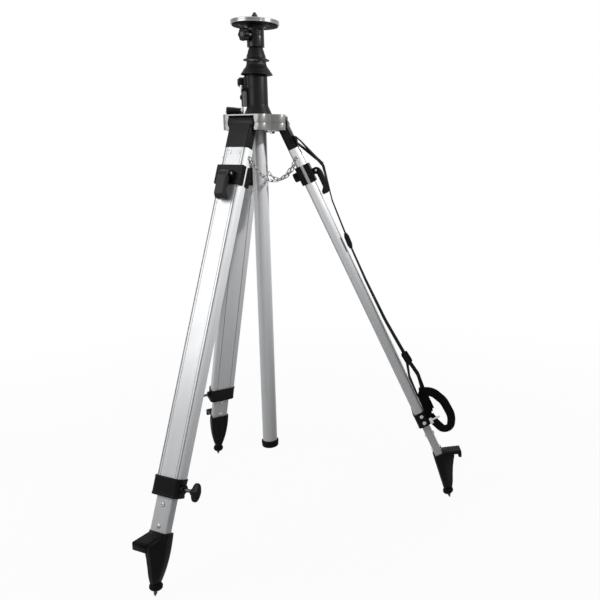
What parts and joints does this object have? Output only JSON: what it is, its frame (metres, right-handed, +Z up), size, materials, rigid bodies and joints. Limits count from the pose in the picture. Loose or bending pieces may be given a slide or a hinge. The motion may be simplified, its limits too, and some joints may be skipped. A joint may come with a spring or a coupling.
{
  "type": "elevating survey tripod",
  "caption": "Aluminium survey tripod with a flat stud head, a crank-raised centre column, telescoping legs with clamps, spread chains and a carrying strap.",
  "frame": {"origin": "centre of the head plate's top face, at the foot of the stud", "axes": "+Z up along the stud and the column, +X out along the strap leg, +Y completes a right-handed frame"},
  "size_m": [0.7879, 0.8273, 1.3072],
  "materials": {
    "machined_aluminium": "turned, fine concentric marks",
    "anodised_aluminium": "satin clear anodised, drawn along its length",
    "grey_casting": "satin grey paint over an aluminium die casting",
    "black_casting": "satin black paint over an aluminium die casting",
    "black_plastic": "fine moulded grain",
    "zinc_steel": "bright zinc plated",
    "bronze": "plain turned bushing",
    "black_rubber": "dull moulded rubber",
    "black_webbing": "woven nylon webbing"
  },
  "bodies": {
    "head": {"column_housing": "black_casting", "column_bushings": "bronze", "crank_bearing": "bronze", "spider_upper": "grey_casting", "spider_lower": "grey_casting", "spider_bolts": "zinc_steel", "spread_chains": "zinc_steel"},
    "column": {"head_plate": "machined_aluminium", "head_stud": "zinc_steel", "plate_screws": "zinc_steel", "neck": "black_casting", "top_collar": "black_plastic", "column_tube": "anodised_aluminium", "rack": "zinc_steel", "end_cap": "black_plastic"},
    "neck_knob": {"neck_knob": "black_plastic"},
    "lock_ring": {"lock_ring": "black_plastic"},
    "crank": {"pinion_shaft": "zinc_steel", "crank_arm": "black_casting", "crank_hardware": "zinc_steel"},
    "grip": {"crank_grip": "black_plastic"},
    "leg_1": {"leg_top_1": "black_casting", "outer_leg_1": "anodised_aluminium", "quick_jaws_1": "black_casting", "band_clamp_1": "black_casting", "leg_fasteners_1": "zinc_steel", "strap_anchor": "zinc_steel", "carry_strap": "black_webbing", "strap_buckles": "black_plastic"},
    "inner_1": {"inner_leg_1": "anodised_aluminium", "stop_screws_1": "zinc_steel", "foot_1": "black_casting", "foot_tip_1": "black_rubber"},
    "lever_1": {"quick_lever_1": "black_plastic"},
    "adjuster_1": {"clamp_adjuster_1": "black_plastic"},
    "thumbscrew_1": {"thumbscrew_1": "black_plastic"},
    "leg_2": {"leg_top_2": "black_casting", "outer_leg_2": "anodised_aluminium", "quick_jaws_2": "black_casting", "band_clamp_2": "black_casting", "leg_fasteners_2": "zinc_steel"},
    "inner_2": {"inner_leg_2": "anodised_aluminium", "stop_screws_2": "zinc_steel", "foot_2": "black_casting", "foot_tip_2": "black_rubber"},
    "lever_2": {"quick_lever_2": "black_plastic"},
    "adjuster_2": {"clamp_adjuster_2": "black_plastic"},
    "thumbscrew_2": {"thumbscrew_2": "black_plastic"},
    "leg_3": {"leg_top_3": "black_casting", "outer_leg_3": "anodised_aluminium", "quick_jaws_3": "black_casting", "band_clamp_3": "black_casting", "leg_fasteners_3": "zinc_steel"},
    "inner_3": {"inner_leg_3": "anodised_aluminium", "stop_screws_3": "zinc_steel", "foot_3": "black_casting", "foot_tip_3": "black_rubber"},
    "lever_3": {"quick_lever_3": "black_plastic"},
    "adjuster_3": {"clamp_adjuster_3": "black_plastic"},
    "thumbscrew_3": {"thumbscrew_3": "black_plastic"}
  },
  "joints": [
    {"name": "column_lift", "type": "slide", "parent": "head", "child": "column", "axis": [0, 0, 1], "range_m": [0, 0.65]},
    {"name": "crank_turn", "type": "hinge", "parent": "head", "child": "crank", "pos_m": [0, 0.0261, -0.145], "axis": [-1, 0, 0], "range_deg": [-12, 4150]},
    {"name": "grip_spin", "type": "hinge", "parent": "crank", "child": "grip", "pos_m": [-0.0453, 0.0261, -0.215], "axis": [-1, 0, 0], "continuous": true},
    {"name": "neck_knob_turn", "type": "hinge", "parent": "column", "child": "neck_knob", "pos_m": [-0.01499, -0.01499, -0.036], "axis": [-0.7071, -0.7071, 0], "range_deg": [0, 540]},
    {"name": "lock_ring_turn", "type": "hinge", "parent": "head", "child": "lock_ring", "pos_m": [0, 0, -0.129], "axis": [0, 0, 1], "range_deg": [0, 90]},
    {"name": "leg_1_spread", "type": "hinge", "parent": "head", "child": "leg_1", "pos_m": [0.059, 0, -0.248], "axis": [0, -1, 0], "range_deg": [-21.2, 13.8], "deforming": ["spread_chains"]},
    {"name": "leg_1_slide", "type": "slide", "parent": "leg_1", "child": "inner_1", "axis": [0.4099, 0, -0.9121], "range_m": [-0.03325, 0.61635]},
    {"name": "leg_1_lever", "type": "hinge", "parent": "leg_1", "child": "lever_1", "pos_m": [0.14106, 0, -0.36351], "axis": [0, -1, 0], "range_deg": [0, 90]},
    {"name": "leg_1_adjuster", "type": "hinge", "parent": "leg_1", "child": "adjuster_1", "pos_m": [0.09788, 0, -0.37963], "axis": [-0.9121, 0, -0.4099], "range_deg": [-180, 180]},
    {"name": "leg_1_thumbscrew", "type": "hinge", "parent": "leg_1", "child": "thumbscrew_1", "pos_m": [0.4144, 0.0435, -1.03881], "axis": [0, 1, 0], "range_deg": [0, 540]},
    {"name": "leg_2_spread", "type": "hinge", "parent": "head", "child": "leg_2", "pos_m": [-0.0295, 0.0511, -0.248], "axis": [0.866, 0.5, 0], "range_deg": [-17.4, 17.6], "deforming": ["spread_chains"]},
    {"name": "leg_2_slide", "type": "slide", "parent": "leg_2", "child": "inner_2", "axis": [-0.1743, 0.3019, -0.9373], "range_m": [-0.0046, 0.645]},
    {"name": "leg_2_lever", "type": "hinge", "parent": "leg_2", "child": "lever_2", "pos_m": [-0.06661, 0.11538, -0.3687], "axis": [0.866, 0.5, 0], "range_deg": [0, 90]},
    {"name": "leg_2_adjuster", "type": "hinge", "parent": "leg_2", "child": "adjuster_2", "pos_m": [-0.04453, 0.07713, -0.38192], "axis": [0.4686, -0.8117, -0.3486], "range_deg": [-180, 180]},
    {"name": "leg_2_thumbscrew", "type": "hinge", "parent": "leg_2", "child": "thumbscrew_2", "pos_m": [-0.21828, 0.29107, -1.06062], "axis": [-0.866, -0.5, 0], "range_deg": [0, 540]},
    {"name": "leg_3_spread", "type": "hinge", "parent": "head", "child": "leg_3", "pos_m": [-0.0295, -0.0511, -0.248], "axis": [-0.866, 0.5, 0], "range_deg": [-18.4, 16.6], "deforming": ["spread_chains"]},
    {"name": "leg_3_slide", "type": "slide", "parent": "leg_3", "child": "inner_3", "axis": [-0.1824, -0.316, -0.9311], "range_m": [-0.01151, 0.63809]},
    {"name": "leg_3_lever", "type": "hinge", "parent": "leg_3", "child": "lever_3", "pos_m": [-0.06766, -0.11719, -0.36738], "axis": [-0.866, 0.5, 0], "range_deg": [0, 90]},
    {"name": "leg_3_adjuster", "type": "hinge", "parent": "leg_3", "child": "adjuster_3", "pos_m": [-0.0457, -0.07915, -0.38137], "axis": [0.4655, 0.8063, -0.3649], "range_deg": [-180, 180]},
    {"name": "leg_3_thumbscrew", "type": "hinge", "parent": "leg_3", "child": "thumbscrew_3", "pos_m": [-0.15, -0.34681, -1.05523], "axis": [0.866, -0.5, 0], "range_deg": [0, 540]}
  ],
  "couplings": [
    {"joint": "crank_turn", "follows": "column_lift", "rad_per_m": 111.11}
  ]
}
